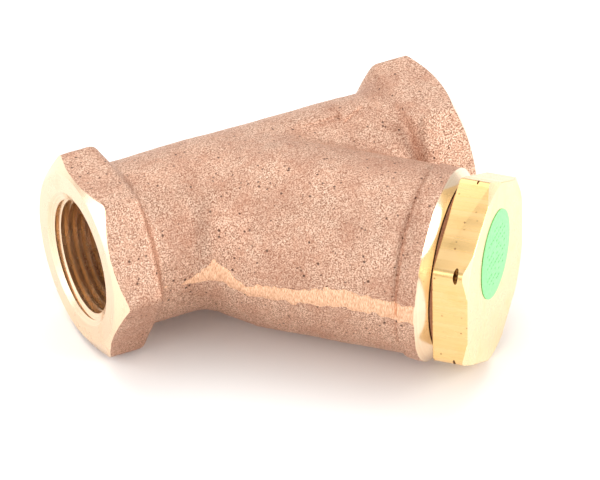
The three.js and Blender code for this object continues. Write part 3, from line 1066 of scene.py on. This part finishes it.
# %% The finished body
def mark_strip(mesh):
    """Stores how far inside the ground strip each vertex is, for the bronze to read."""
    points = np.empty(3 * len(mesh.vertices))
    mesh.vertices.foreach_get("co", points)
    points = points.reshape(-1, 3)
    outside = np.abs(casting(*points.T)) < 0.6
    margin = np.where(outside, strip_margin(points), -2.0)
    mesh.attributes.new("ground", "FLOAT", "POINT").data.foreach_set(
        "value", np.clip(margin, -2, 2)
    )
    return int((margin > 0).sum())


print("vertices on the ground strip:", mark_strip(body_mesh))
finished("cast_body", body_mesh, "body", "cast_bronze", "body_casting", sharp=22)

# %% [markdown]
# ## The hexagonal cap
# The cap is turned from drawn hexagonal brass bar. The bar's corners are slightly round, the
# lathe breaks the six corner tips, and jaws have left short nicks across the corners. The prism
# is drawn as a stack of outlines, then overlapped with a turned blank, joined to its threaded
# spigot, and hollowed for the screen.


# %% Bar stock
def bar_outline(flats, radius, per_corner=7):
    """Corners of a hexagon with round corners, the first corner towards +Z, as (up, side)."""
    outline = []
    centre = (flats / 2 - radius) * 2 / math.sqrt(3)
    for corner in range(6):
        middle = math.radians(60 * corner)
        for step in range(per_corner):
            turn = middle + math.radians(60) * (step / (per_corner - 1) - 0.5)
            outline.append(
                (
                    centre * math.cos(middle) + radius * math.cos(turn),
                    centre * math.sin(middle) + radius * math.sin(turn),
                )
            )
    return outline


def hex_bar(start, end, flats, radius, edge, finishes):
    """A hexagonal bar along the branch with its end edges broken by `edge`."""
    side = BRANCH.cross(UP)
    points, faces = [], []
    levels = [(start, edge), (start + edge, 0), (end - edge, 0), (end, edge)]
    for along, inset in levels:
        for up, across in bar_outline(flats - 2 * inset, radius - 0.5 * inset):
            points.append(BRANCH * along + UP * up + side * across)
    count = len(points) // len(levels)
    for level in range(len(levels) - 1):
        for step in range(count):
            after = (step + 1) % count
            faces.append(
                (
                    level * count + step,
                    level * count + after,
                    (level + 1) * count + after,
                    (level + 1) * count + step,
                )
            )
    faces.append(tuple(reversed(range(count))))
    faces.append(tuple(range(3 * count, 4 * count)))
    mesh = mesh_of("bar", points, faces, finishes, BAR_STOCK)
    for face in list(mesh.polygons)[-2:]:
        face.material_index = TURNED
    return mesh


# %% Nicks left by jaws
def nick(corner, along, length, width, depth):
    """A small lens-shaped cutter across one corner of the bar, in mm."""
    side = BRANCH.cross(UP)
    angle = math.radians(60 * corner)
    outward = UP * math.cos(angle) + side * math.sin(angle)
    around = side * math.cos(angle) - UP * math.sin(angle)
    shape = bmesh.new()
    bmesh.ops.create_icosphere(shape, subdivisions=3, radius=1.0)
    mesh = bpy.data.meshes.new("nick")
    shape.to_mesh(mesh)
    shape.free()
    stretch = Matrix((BRANCH * width, around * length, outward * 1.2)).transposed().to_4x4()
    mesh.transform(
        Matrix.Translation(BRANCH * along + outward * (CAP_CORNER - 0.3 - depth + 1.2)) @ stretch
    )
    for material in CAP_FINISHES:
        mesh.materials.append(material)
    mesh.polygons.foreach_set("material_index", [BRUISED] * len(mesh.polygons))
    face_outwards(mesh)
    return mesh


# %% [markdown]
# The inside of a nick gets a much darker brown brass of its own.

# %% Bruised brass
bruised_brass, bruised_tree, bruised_shader = new_material(
    "bruised_brass", Metallic=1.0, Roughness=0.5
)
bruise = grain(bruised_tree, millimetres(bruised_tree), 0.5, detail=3.0)
bruised_tree.links.new(
    blend(bruised_tree, remap(bruised_tree, bruise, 0.35, 0.65), "4a2c1a", "a8763e"),
    bruised_shader.inputs["Base Color"],
)
bruised_tree.links.new(bump(bruised_tree, bruise, 0.05), bruised_shader.inputs["Normal"])
CAP_FINISHES = [drawn_brass, turned_brass, bruised_brass]
BAR_STOCK, TURNED, BRUISED = range(3)
print("made", bruised_brass.name)


# %% Build the cap
def build_cap():
    corner = CAP_CORNER - 0.5
    face_edge = CAP_FLATS / 2 + 0.6
    mesh = hex_bar(CAP_SHOULDER, CAP_FACE, CAP_FLATS, BAR_ROUNDING, BAR_EDGE, CAP_FINISHES)
    blank = lathe(
        "blank",
        [
            (0, CAP_SHOULDER - 1),
            (corner - 1, CAP_SHOULDER - 1),
            (corner + 1, CAP_SHOULDER + 1),
            (CAP_CORNER + 1, CAP_FACE - 1.93),
            (face_edge, CAP_FACE),
            (face_edge - 1.2, CAP_FACE + 0.7),
            (0, CAP_FACE + 0.7),
        ],
        BRANCH,
        CAP_FINISHES,
        TURNED,
    )
    mesh = carve(mesh, blank, "INTERSECT")
    for corner_number, shift, length, width, depth in NICKS:
        mesh = carve(
            mesh, nick(corner_number, CAP_SHOULDER + shift, length, width, depth), "DIFFERENCE"
        )
    nose = THREAD_START - 1.2
    spigot = lathe(
        "spigot",
        [
            (0, nose),
            (CAP_CORE - 0.5, nose),
            (CAP_CORE, nose + 0.5),
            (CAP_CORE, CAP_SHOULDER + 1),
            (0, CAP_SHOULDER + 1),
        ],
        BRANCH,
        CAP_FINISHES,
        TURNED,
    )
    crest_width = CAP_PITCH / 8 + 2 * THREAD_GAP * FLANK - 2 * THREAD_GAP
    ridge = thread_ridge(
        BRANCH,
        THREAD_START,
        THREAD_LENGTH - CAP_PITCH / 2,
        CAP_PITCH,
        CAP_CORE,
        CAP_MAJOR - THREAD_GAP,
        crest_width,
        CAP_FINISHES,
        TURNED,
    )
    pocket = lathe(
        "pocket",
        [
            (0, nose - 1),
            (POCKET_RADIUS + 1.5, nose - 1),
            (POCKET_RADIUS, nose + 0.5),
            (POCKET_RADIUS, CAP_SHOULDER + 1.5),
            (0, CAP_SHOULDER + 1.5),
        ],
        BRANCH,
        CAP_FINISHES,
        TURNED,
    )
    mesh = carve(carve(mesh, spigot, "UNION"), ridge, "UNION")
    return carve(mesh, pocket, "DIFFERENCE")


BAR_ROUNDING, BAR_EDGE = 2.1, 0.18
# Each nick has its corner, its place from the shoulder, its length, its width and its depth.
NICKS = (
    (1, 4.9, 3.6, 0.55, 0.85),
    (0, 3.9, 1.8, 0.35, 0.3),
    (2, 4.6, 2.2, 0.4, 0.4),
    (4, 4.4, 2.4, 0.45, 0.45),
    (5, 3.6, 1.6, 0.4, 0.3),
)
finished("hex_cap", build_cap(), "cap", "cap_brass", "retainer_cap", sharp=28)

# %% [markdown]
# ## The gasket
# A flat fibre ring seals the cap's shoulder against the branch. Stamping leaves its edges a
# little round, so its outline has small bevels. It is simple enough to turn directly.

# %% Build the gasket
hole = CAP_MAJOR + THREAD_GAP
edge = 0.08
ring = [
    (hole, GASKET_START + edge),
    (hole + edge, GASKET_START),
    (GASKET_RADIUS - edge, GASKET_START),
    (GASKET_RADIUS, GASKET_START + edge),
    (GASKET_RADIUS, GASKET_END - edge),
    (GASKET_RADIUS - edge, GASKET_END),
    (hole + edge, GASKET_END),
    (hole, GASKET_END - edge),
]
finished(
    "gasket_ring",
    lathe("gasket", ring, BRANCH, [gasket_fibre]),
    "gasket",
    "fibre_gasket",
    "cap_gasket",
)

# %% [markdown]
# ## The woven screen
# The screen is a sleeve of plain-woven wire. Lengthwise wires and rings pass over and under one
# another, so at every crossing one wire moves out by its own radius and the other moves in. One
# wave does both: the product of a cosine round the sleeve and a cosine along it, added to the
# lengthwise wires and taken from the rings. Geometry Nodes repeats one wire and one ring, and
# displaces the points by that wave.


# %% The weave tree
def make_weave_tree():
    tree = bpy.data.node_groups.new("woven_sleeve", "GeometryNodeTree")
    for name in ("Radius", "Length", "Pitch", "Wire radius"):
        value_input(tree, name)
    value_input(tree, "Wires", "NodeSocketInt")
    value_input(tree, "Rings", "NodeSocketInt")
    value_input(tree, "Finish", "NodeSocketMaterial")
    tree.interface.new_socket("Geometry", in_out="OUTPUT", socket_type="NodeSocketGeometry")
    given = add(tree, "NodeGroupInput").outputs
    number = add(tree, "GeometryNodeInputIndex").outputs[0]
    place = add(tree, "GeometryNodeInputPosition").outputs[0]
    parts = add(tree, "ShaderNodeSeparateXYZ", {0: place}).outputs

    def calc(operation, first, second=0.0):
        return math_node(tree, operation, first, second)

    turn = calc("ARCTAN2", parts[1], parts[0])
    round_wave = calc("COSINE", calc("MULTIPLY", turn, calc("MULTIPLY", given["Wires"], 0.5)))
    long_wave = calc("COSINE", calc("MULTIPLY", calc("DIVIDE", parts[2], given["Pitch"]), math.pi))
    wave = calc("MULTIPLY", calc("MULTIPLY", round_wave, long_wave), given["Wire radius"])
    flat = add(tree, "ShaderNodeCombineXYZ", {0: parts[0], 1: parts[1]}).outputs[0]
    outward = add(tree, "ShaderNodeVectorMath", {0: flat}, operation="NORMALIZE").outputs[0]
    wire_end = add(
        tree, "ShaderNodeCombineXYZ", {0: given["Radius"], 2: given["Length"]}
    ).outputs[0]
    wire_start = add(tree, "ShaderNodeCombineXYZ", {0: given["Radius"]}).outputs[0]
    line = add(tree, "GeometryNodeCurvePrimitiveLine", {"Start": wire_start, "End": wire_end})
    steps = calc("ADD", calc("MULTIPLY", given["Rings"], 2.0), 1.0)
    wire = add(tree, "GeometryNodeResampleCurve", {"Curve": line.outputs[0], "Count": steps})
    spots = add(tree, "GeometryNodePoints", {"Count": given["Wires"]})
    angle = calc("DIVIDE", calc("MULTIPLY", number, 2 * math.pi), given["Wires"])
    facing = add(tree, "ShaderNodeCombineXYZ", {2: angle}).outputs[0]
    wires = add(
        tree,
        "GeometryNodeInstanceOnPoints",
        {"Points": spots.outputs[0], "Instance": wire.outputs[0], "Rotation": facing},
    )
    circle = add(
        tree,
        "GeometryNodeCurvePrimitiveCircle",
        {"Resolution": calc("MULTIPLY", given["Wires"], 2.0), "Radius": given["Radius"]},
    )
    level = add(
        tree,
        "ShaderNodeCombineXYZ",
        {2: calc("MULTIPLY", calc("ADD", number, 1.0), given["Pitch"])},
    ).outputs[0]
    levels = add(
        tree,
        "GeometryNodePoints",
        {"Count": calc("SUBTRACT", given["Rings"], 1.0), "Position": level},
    )
    rings = add(
        tree,
        "GeometryNodeInstanceOnPoints",
        {"Points": levels.outputs[0], "Instance": circle.outputs[0]},
    )
    strands = []
    for group, sign in ((wires, 1.0), (rings, -1.0)):
        whole = add(tree, "GeometryNodeRealizeInstances", {0: group.outputs[0]})
        shift = add(
            tree,
            "ShaderNodeVectorMath",
            {0: outward, "Scale": calc("MULTIPLY", wave, sign)},
            operation="SCALE",
        ).outputs[0]
        strands.append(
            add(
                tree, "GeometryNodeSetPosition", {"Geometry": whole.outputs[0], "Offset": shift}
            ).outputs[0]
        )
    section = add(
        tree, "GeometryNodeCurvePrimitiveCircle", {"Resolution": 5, "Radius": given["Wire radius"]}
    )
    joined = tree.nodes.new("GeometryNodeJoinGeometry")
    for strand in strands:
        tube = add(
            tree,
            "GeometryNodeCurveToMesh",
            {"Curve": strand, "Profile Curve": section.outputs[0], "Fill Caps": True},
        )
        tree.links.new(tube.outputs[0], joined.inputs[0])
    cloth = add(tree, "GeometryNodeRealizeInstances", {0: joined.outputs[0]})
    finish = add(
        tree, "GeometryNodeSetMaterial", {"Geometry": cloth.outputs[0], "Material": given["Finish"]}
    )
    add(tree, "NodeGroupOutput", {0: finish.outputs[0]})
    return tree


weave_tree = make_weave_tree()
print("weave tree has", len(weave_tree.nodes), "nodes")

# %% Weave the sleeve
SLEEVE_GAUGE = 0.5
RING_SPACING = 1.27
WIRE_RADIUS = SLEEVE_GAUGE / 4
sleeve_length = SLEEVE_END - SLEEVE_START
ring_count = round(sleeve_length / RING_SPACING)
weave = {
    "Radius": SLEEVE_RADIUS - SLEEVE_GAUGE / 2,
    "Length": sleeve_length,
    "Pitch": sleeve_length / ring_count,
    "Wire radius": WIRE_RADIUS,
    "Wires": 54,
    "Rings": ring_count,
    "Finish": screen_wire,
}
sleeve_mesh = on_axis(grown(weave_tree, weave, "sleeve"), BRANCH, SLEEVE_START)
finished("woven_sleeve", sleeve_mesh, "screen", "stainless_screen", "screen_sleeve", sharp=80)

# %% [markdown]
# ## Bands and seam of the screen
# A rolled strip band stiffens each end of the sleeve, and a spot-welded strip closes the seam
# where the cloth meets itself. The bands are turned rings with rolled edges. The strip is a bent
# sheet with a row of shallow weld dimples pressed into its outside.


# %% Bands
STRIP_GAUGE = 0.5


def band(name, start, end, node):
    edge = 0.12
    inner = BAND_RADIUS - STRIP_GAUGE
    ring = [
        (inner, start),
        (BAND_RADIUS - edge, start),
        (BAND_RADIUS, start + edge),
        (BAND_RADIUS, end - edge),
        (BAND_RADIUS - edge, end),
        (inner, end),
    ]
    finished(name, lathe(name, ring, BRANCH, [screen_strip]), "screen", "stainless_screen", node)


band("inner_band", INNER_BAND_START, INNER_BAND_END, "screen_inner_band")
band("outer_band", OUTER_BAND_START, OUTER_BAND_END, "screen_outer_band")


# %% Seam strip with weld dimples
SEAM_WIDTH, SEAM_GAP = 4.0, 0.3
WELD_SPACING, WELD_RADIUS, WELD_DEPTH = 4.7, 0.9, 0.16


def build_seam():
    side = BRANCH.cross(UP)
    start, end = INNER_BAND_END + SEAM_GAP, OUTER_BAND_START - SEAM_GAP
    inner, outer = BAND_RADIUS - STRIP_GAUGE, BAND_RADIUS
    across = np.linspace(-SEAM_WIDTH / 2, SEAM_WIDTH / 2, 13)
    along = np.linspace(start, end, int((end - start) / 0.4) + 1)
    points = []
    for radius, dimpled in ((outer, True), (inner, False)):
        for place in along:
            for shift in across:
                from_weld = math.hypot(
                    shift, (place - start - WELD_SPACING / 2) % WELD_SPACING - WELD_SPACING / 2
                )
                dip = WELD_DEPTH * max(0.0, 1 - (from_weld / WELD_RADIUS) ** 2) if dimpled else 0.0
                angle = shift / BAND_RADIUS
                points.append(
                    BRANCH * place + (radius - dip) * (
                        UP * math.cos(angle) + side * math.sin(angle)
                    )
                )
    columns, rows = len(across), len(along)
    sheet = columns * rows
    faces = []
    for row in range(rows - 1):
        for column in range(columns - 1):
            corner = row * columns + column
            quad = (corner, corner + 1, corner + 1 + columns, corner + columns)
            faces.append(quad)
            faces.append(tuple(sheet + index for index in reversed(quad)))
    rim = list(range(columns)) + [row * columns + columns - 1 for row in range(1, rows)]
    rim += [
        sheet - 1 - column for column in range(1, columns)
    ] + [row * columns for row in range(rows - 2, 0, -1)]
    for first, second in zip(rim, rim[1:] + rim[:1]):
        faces.append((second, first, sheet + first, sheet + second))
    return mesh_of("seam", points, faces, [screen_strip])


finished("screen_seam", build_seam(), "screen", "stainless_screen", "screen_seam_strip")

# %% [markdown]
# ## The label
# A round paper dot is stuck on the cap's face, a little above its middle. Its print is too fine
# to read, so rows of short dashes stand for it. Geometry Nodes lays out a grid of dashes, drops
# the ones near the edge, and gives each a length from a fixed seed.

# %% The dot
DOT_TOP = LABEL_END - 0.02
DOT_EDGE = 0.05
dot = [
    (0, LABEL_START),
    (LABEL_RADIUS, LABEL_START),
    (LABEL_RADIUS, LABEL_END - DOT_EDGE),
    (LABEL_RADIUS - DOT_EDGE, DOT_TOP),
    (0, DOT_TOP),
]
finished(
    "label_dot",
    lathe("dot", dot, BRANCH, [label_paper], rise=LABEL_RISE),
    "cap",
    "green_label",
    "cap_label",
)


# %% The dashes tree
def make_dash_tree():
    tree = bpy.data.node_groups.new("label_dashes", "GeometryNodeTree")
    for name in ("Width", "Height", "Reach", "Dash length", "Dash height", "Thickness"):
        value_input(tree, name)
    for name in ("Columns", "Rows", "Seed"):
        value_input(tree, name, "NodeSocketInt")
    value_input(tree, "Ink", "NodeSocketMaterial")
    tree.interface.new_socket("Geometry", in_out="OUTPUT", socket_type="NodeSocketGeometry")
    given = add(tree, "NodeGroupInput").outputs
    grid = add(
        tree,
        "GeometryNodeMeshGrid",
        {
            "Size X": given["Width"],
            "Size Y": given["Height"],
            "Vertices X": given["Columns"],
            "Vertices Y": given["Rows"],
        },
    )
    place = add(tree, "GeometryNodeInputPosition").outputs[0]
    from_middle = add(tree, "ShaderNodeVectorMath", {0: place}, operation="LENGTH").outputs["Value"]
    outside = add(
        tree,
        "FunctionNodeCompare",
        {0: from_middle, 1: given["Reach"]},
        data_type="FLOAT",
        operation="GREATER_THAN",
    ).outputs[0]
    gap = add(
        tree,
        "FunctionNodeRandomValue",
        {"Probability": 0.2, "Seed": given["Seed"]},
        data_type="BOOLEAN",
    ).outputs[3]
    dropped = add(tree, "FunctionNodeBooleanMath", {0: outside, 1: gap}, operation="OR").outputs[0]
    kept = add(
        tree,
        "GeometryNodeDeleteGeometry",
        {"Geometry": grid.outputs[0], "Selection": dropped},
        domain="POINT",
    )
    size = add(
        tree,
        "ShaderNodeCombineXYZ",
        {0: given["Dash length"], 1: given["Dash height"], 2: given["Thickness"]},
    ).outputs[0]
    dash = add(tree, "GeometryNodeMeshCube", {"Size": size})
    stretch = add(
        tree, "FunctionNodeRandomValue", {2: 0.45, 3: 1.0, "Seed": given["Seed"]}, data_type="FLOAT"
    ).outputs[1]
    scale = add(tree, "ShaderNodeCombineXYZ", {0: stretch, 1: 1.0, 2: 1.0}).outputs[0]
    dashes = add(
        tree,
        "GeometryNodeInstanceOnPoints",
        {"Points": kept.outputs[0], "Instance": dash.outputs[0], "Scale": scale},
    )
    whole = add(tree, "GeometryNodeRealizeInstances", {0: dashes.outputs[0]})
    finish = add(
        tree, "GeometryNodeSetMaterial", {"Geometry": whole.outputs[0], "Material": given["Ink"]}
    )
    add(tree, "NodeGroupOutput", {0: finish.outputs[0]})
    return tree


dash_tree = make_dash_tree()
print("dash tree has", len(dash_tree.nodes), "nodes")

# %% Print the dashes
ink = {
    "Width": 1.2 * LABEL_RADIUS,
    "Height": 1.3 * LABEL_RADIUS,
    "Reach": 0.72 * LABEL_RADIUS,
    "Dash length": 1.0,
    "Dash height": 0.3,
    "Thickness": 0.03,
    "Columns": 10,
    "Rows": 9,
    "Seed": 4,
    "Ink": label_ink,
}
print_mesh = grown(dash_tree, ink, "print")
print_mesh.transform(Matrix.Rotation(math.radians(90), 4, "Z"))
print_mesh = on_axis(print_mesh, BRANCH, DOT_TOP + 0.003)
print_mesh.transform(Matrix.Translation(UP * LABEL_RISE))
finished("label_print", print_mesh, "cap", "green_label")

# %% [markdown]
# ## The floor
# The strainer lies on the far bottom edges of its hexagons and on the lowest corner of the cap,
# so the floor is a plane through those three places, tipped a few degrees from level. It is
# plain and pale, and big enough to fill the view.

# %% Floor
FLOOR_GAP = 0.0002
hex_edge = CROSSING + 0.001 * HEX_FLATS / 2 * Vector((0, 1 / math.sqrt(3), -1))
cap_edge = CROSSING + 0.001 * (BRANCH * CAP_SHOULDER - UP * CAP_CORNER)
tilt = math.atan2(hex_edge.z - cap_edge.z, hex_edge.y - cap_edge.y)
floor_shape = bmesh.new()
bmesh.ops.create_grid(floor_shape, x_segments=1, y_segments=1, size=4.0)
floor_mesh = bpy.data.meshes.new("floor")
floor_shape.to_mesh(floor_mesh)
floor_shape.free()
floor_mesh.transform(Matrix.Translation(cap_edge - UP * FLOOR_GAP) @ Matrix.Rotation(tilt, 4, "X"))
floor = bpy.data.objects.new("floor", floor_mesh)
bpy.context.scene.collection.objects.link(floor)
floor_paper, floor_tree, floor_shader = new_material("white_backdrop_paper", Roughness=0.85)
floor_grain = grain(floor_tree, millimetres(floor_tree), 30.0, detail=4.0)
floor_tree.links.new(
    blend(floor_tree, floor_grain, "f7f6f4", "fbfaf8"), floor_shader.inputs["Base Color"]
)
floor_mesh.materials.append(floor_paper)
print("floor tips by", round(math.degrees(tilt), 2), "degrees")

# %% [markdown]
# ## Light and camera
# Bright metal shows mostly what surrounds it, so the light is soft and broad: a pale sky, one
# large panel overhead, one low beside the inlet, and one in front of the cap. The camera stands
# far off with a long lens, which keeps the two hexagons nearly the same size, as in a catalogue
# picture.


# %% Sky and panels
def panel(name, azimuth, elevation, distance, size, power):
    """A soft square light that faces the strainer. Azimuth is measured from +X towards +Y."""
    light = bpy.data.lights.new(name, "AREA")
    light.shape = "SQUARE"
    light.size = size
    light.energy = power
    lamp = bpy.data.objects.new(name, light)
    bpy.context.scene.collection.objects.link(lamp)
    turn, lift = math.radians(azimuth), math.radians(elevation)
    toward = Vector(
        (math.cos(turn) * math.cos(lift), math.sin(turn) * math.cos(lift), math.sin(lift))
    )
    lamp.location = middle + toward * distance
    lamp.rotation_euler = toward.to_track_quat("Z", "Y").to_euler()
    return lamp


middle = (cad_box[0] + cad_box[1]) / 2
sky = bpy.data.worlds.new("pale_sky")
sky.use_nodes = True
sky.node_tree.nodes["Background"].inputs["Color"].default_value = linear("ffffff")
sky.node_tree.nodes["Background"].inputs["Strength"].default_value = 0.77
bpy.context.scene.world = sky
panel("overhead_panel", 75, 58, 0.9, 1.0, 4.4)
panel("left_panel", 178, 20, 0.6, 0.7, 3.0)
panel("front_right_panel", -40, 22, 0.8, 0.5, 4.0)

# %% Camera
VIEW_YAW, VIEW_PITCH, VIEW_ROLL = math.radians(25.77), math.radians(34.85), math.radians(-1.11)
VIEW_DISTANCE = 1.4936
AIM = CROSSING + Vector((0.0162, -0.0106, -0.0037))
forward = Vector(
    (
        math.sin(VIEW_YAW) * math.cos(VIEW_PITCH),
        math.cos(VIEW_YAW) * math.cos(VIEW_PITCH),
        -math.sin(VIEW_PITCH),
    )
)
level_right = Vector((math.cos(VIEW_YAW), -math.sin(VIEW_YAW), 0))
level_up = level_right.cross(forward)
right = level_right * math.cos(VIEW_ROLL) + level_up * math.sin(VIEW_ROLL)
upward = level_up * math.cos(VIEW_ROLL) - level_right * math.sin(VIEW_ROLL)
lens = bpy.data.cameras.new("camera")
lens.sensor_width = 36.0
lens.lens = 430.8
lens.clip_end = 20.0
camera = bpy.data.objects.new("camera", lens)
bpy.context.scene.collection.objects.link(camera)
turned = Matrix((right, upward, -forward)).transposed().to_4x4()
camera.matrix_world = Matrix.Translation(AIM - forward * VIEW_DISTANCE) @ turned
bpy.context.scene.camera = camera
bpy.context.scene.view_settings.view_transform = "Standard"
print("camera at", [round(v, 4) for v in camera.location])
